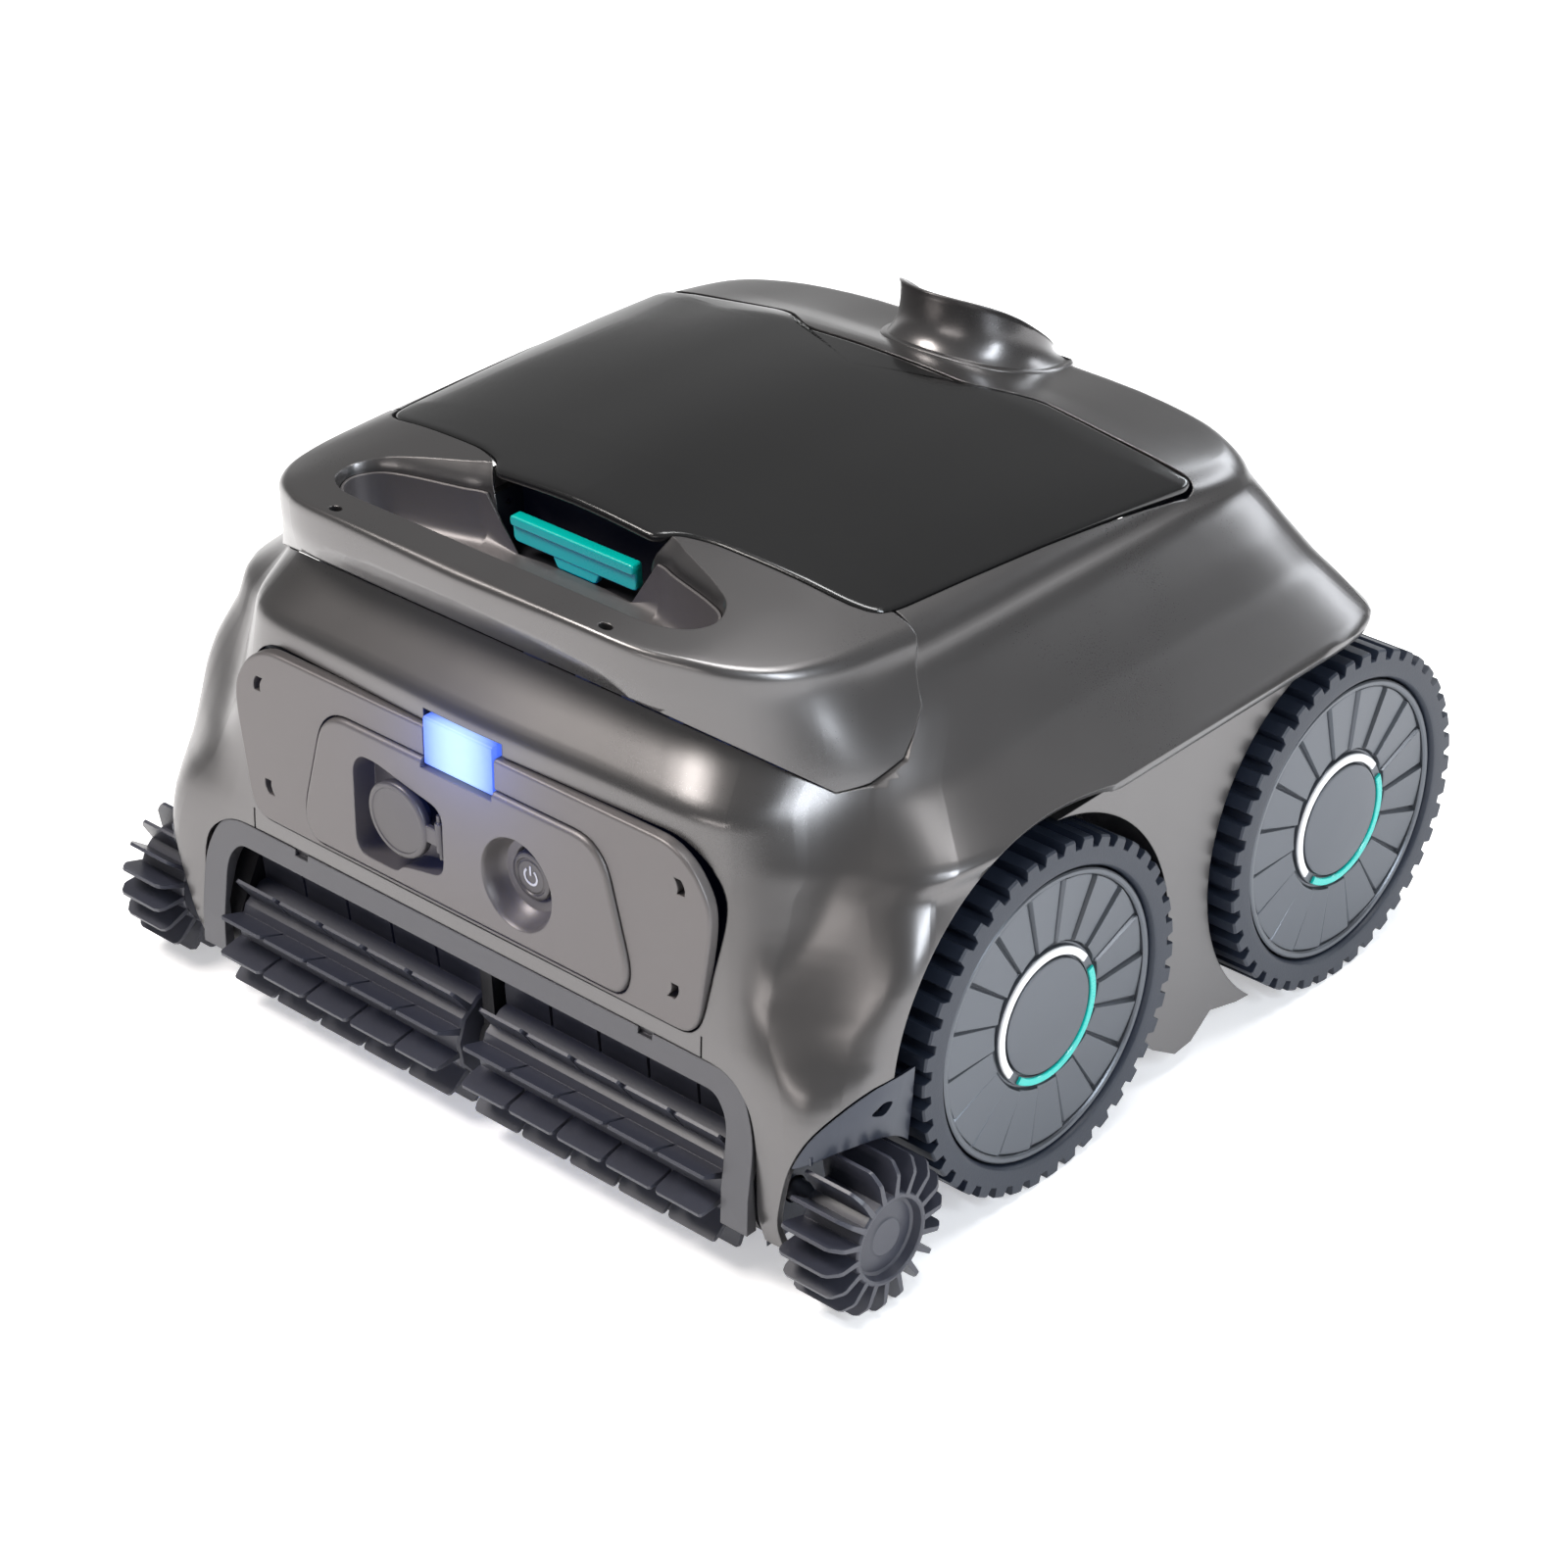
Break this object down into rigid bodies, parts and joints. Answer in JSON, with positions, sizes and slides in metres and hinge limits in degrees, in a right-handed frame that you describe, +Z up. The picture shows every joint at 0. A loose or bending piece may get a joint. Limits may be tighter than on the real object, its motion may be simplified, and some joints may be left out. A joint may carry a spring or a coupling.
{
  "type": "pool cleaner",
  "caption": "Cordless floor pool cleaner on ribbed wheels with front scrubbing rollers, side brushes, a smoked lid over its filter basket and a rear outlet nozzle.",
  "frame": {"origin": "middle of the footprint on the floor", "axes": "+Z up, -Y towards the front rollers, X across the wheels"},
  "size_m": [0.4352, 0.415, 0.2861],
  "materials": {
    "body": "satin gunmetal moulding",
    "body_dark": "dark moulded plastic",
    "smoked": "smoked gloss lid",
    "black": "fine grained black plastic",
    "panel": "gloss dark panel",
    "navy": "dark navy rubber",
    "hub": "satin grey hub",
    "teal": "teal accent plastic",
    "lamp": "frosted lamp lens",
    "gear": "natural moulded gear plastic",
    "shaft": "ground steel",
    "motor": "pressed motor can",
    "battery": "shrink wrapped pack",
    "board": "coated circuit board",
    "filter": "basket frame and mesh"
  },
  "bodies": {
    "hull": {"upper_shell": "body", "handle_bridge": "body_dark", "recess_tray": "black", "rear_cover": "body", "outlet_nozzle": "black", "front_panel": "panel", "panel_island": "panel", "led_lens": "lamp", "charge_socket": "black", "roller_frame": "black", "centre_bracket": "black", "chassis_tub": "black", "cover_screws": "shaft", "intake_plate": "black", "motor_box": "body_dark", "pump_motor": "motor", "battery_pack": "battery", "control_board": "board", "filter_basket": "filter", "right_drive_motor": "motor", "right_gear_cover": "black", "right_side_plate": "black", "right_brush_shroud": "black", "right_side_skirt": "black", "left_drive_motor": "motor", "left_gear_cover": "black", "left_side_plate": "black", "left_brush_shroud": "black", "left_side_skirt": "black"},
    "lid": {"lid_window": "smoked", "lid_frame": "black"},
    "latch": {"lid_latch": "teal"},
    "charge_flap": {"charge_cap": "navy"},
    "power_key": {"power_button": "panel"},
    "flap": {"inlet_flap": "navy"},
    "impeller": {"pump_impeller": "gear"},
    "front_right_wheel": {"front_right_tyre": "navy", "front_right_hub": "hub", "front_right_wheel_gear": "gear"},
    "rear_right_wheel": {"rear_right_tyre": "navy", "rear_right_hub": "hub", "rear_right_wheel_gear": "gear"},
    "right_centre_wheel": {"right_centre_gear": "gear"},
    "right_idler_wheel": {"right_brush_idler": "gear"},
    "right_pinion": {"right_drive_pinion": "shaft"},
    "right_brush": {"right_roller": "navy", "right_brush_shaft": "shaft", "right_side_brush": "navy"},
    "front_left_wheel": {"front_left_tyre": "navy", "front_left_hub": "hub", "front_left_wheel_gear": "gear"},
    "rear_left_wheel": {"rear_left_tyre": "navy", "rear_left_hub": "hub", "rear_left_wheel_gear": "gear"},
    "left_centre_wheel": {"left_centre_gear": "gear"},
    "left_idler_wheel": {"left_brush_idler": "gear"},
    "left_pinion": {"left_drive_pinion": "shaft"},
    "left_brush": {"left_roller": "navy", "left_brush_shaft": "shaft", "left_side_brush": "navy"}
  },
  "joints": [
    {"name": "lid_hinge", "type": "hinge", "parent": "hull", "child": "lid", "pos_m": [0, 0.0955, 0.239], "axis": [-1, 0, 0], "range_deg": [0, 46]},
    {"name": "latch_press", "type": "hinge", "parent": "hull", "child": "latch", "pos_m": [0, -0.1055, 0.243], "axis": [-1, 0, 0], "range_deg": [0, 6], "stiffness_Nm_per_rad": 0.3},
    {"name": "charge_cap_hinge", "type": "hinge", "parent": "hull", "child": "charge_flap", "pos_m": [-0.0125, -0.18836, 0.134], "axis": [0, 0, 1], "range_deg": [0, 100]},
    {"name": "power_press", "type": "slide", "parent": "hull", "child": "power_key", "axis": [0, 1, 0], "range_m": [0, 0.0015], "stiffness_N_per_m": 600},
    {"name": "inlet_flap_hinge", "type": "hinge", "parent": "hull", "child": "flap", "pos_m": [0, -0.014, 0.031], "axis": [-1, 0, 0], "range_deg": [0, 60]},
    {"name": "impeller_spin", "type": "hinge", "parent": "hull", "child": "impeller", "pos_m": [0, 0.1215, 0.15], "axis": [0, 0, 1], "continuous": true},
    {"name": "right_drive_spin", "type": "hinge", "parent": "hull", "child": "front_right_wheel", "pos_m": [0.15, -0.0655, 0.078], "axis": [1, 0, 0], "continuous": true},
    {"name": "rear_right_wheel_spin", "type": "hinge", "parent": "hull", "child": "rear_right_wheel", "pos_m": [0.15, 0.1295, 0.078], "axis": [1, 0, 0], "continuous": true},
    {"name": "right_centre_gear_spin", "type": "hinge", "parent": "hull", "child": "right_centre_wheel", "pos_m": [0.15, 0.032, 0.09517], "axis": [1, 0, 0], "continuous": true},
    {"name": "right_pinion_spin", "type": "hinge", "parent": "hull", "child": "right_pinion", "pos_m": [0.15, 0.11234, 0.12441], "axis": [1, 0, 0], "continuous": true},
    {"name": "right_idler_spin", "type": "hinge", "parent": "hull", "child": "right_idler_wheel", "pos_m": [0.15, -0.12869, 0.06508], "axis": [1, 0, 0], "continuous": true},
    {"name": "right_brush_spin", "type": "hinge", "parent": "hull", "child": "right_brush", "pos_m": [0.15, -0.1732, 0.0345], "axis": [1, 0, 0], "continuous": true},
    {"name": "left_drive_spin", "type": "hinge", "parent": "hull", "child": "front_left_wheel", "pos_m": [-0.15, -0.0655, 0.078], "axis": [1, 0, 0], "continuous": true},
    {"name": "rear_left_wheel_spin", "type": "hinge", "parent": "hull", "child": "rear_left_wheel", "pos_m": [-0.15, 0.1295, 0.078], "axis": [1, 0, 0], "continuous": true},
    {"name": "left_centre_gear_spin", "type": "hinge", "parent": "hull", "child": "left_centre_wheel", "pos_m": [-0.15, 0.032, 0.09517], "axis": [1, 0, 0], "continuous": true},
    {"name": "left_pinion_spin", "type": "hinge", "parent": "hull", "child": "left_pinion", "pos_m": [-0.15, 0.11234, 0.12441], "axis": [1, 0, 0], "continuous": true},
    {"name": "left_idler_spin", "type": "hinge", "parent": "hull", "child": "left_idler_wheel", "pos_m": [-0.15, -0.12869, 0.06508], "axis": [1, 0, 0], "continuous": true},
    {"name": "left_brush_spin", "type": "hinge", "parent": "hull", "child": "left_brush", "pos_m": [-0.15, -0.1732, 0.0345], "axis": [1, 0, 0], "continuous": true}
  ],
  "couplings": [
    {"joint": "rear_right_wheel_spin", "follows": "right_drive_spin", "ratio": 1},
    {"joint": "right_centre_gear_spin", "follows": "right_drive_spin", "ratio": -0.34694},
    {"joint": "right_pinion_spin", "follows": "right_drive_spin", "ratio": 2.125},
    {"joint": "right_idler_spin", "follows": "right_drive_spin", "ratio": -0.65385},
    {"joint": "right_brush_spin", "follows": "right_drive_spin", "ratio": 1.7},
    {"joint": "rear_left_wheel_spin", "follows": "left_drive_spin", "ratio": 1},
    {"joint": "left_centre_gear_spin", "follows": "left_drive_spin", "ratio": -0.34694},
    {"joint": "left_pinion_spin", "follows": "left_drive_spin", "ratio": 2.125},
    {"joint": "left_idler_spin", "follows": "left_drive_spin", "ratio": -0.65385},
    {"joint": "left_brush_spin", "follows": "left_drive_spin", "ratio": 1.7}
  ]
}
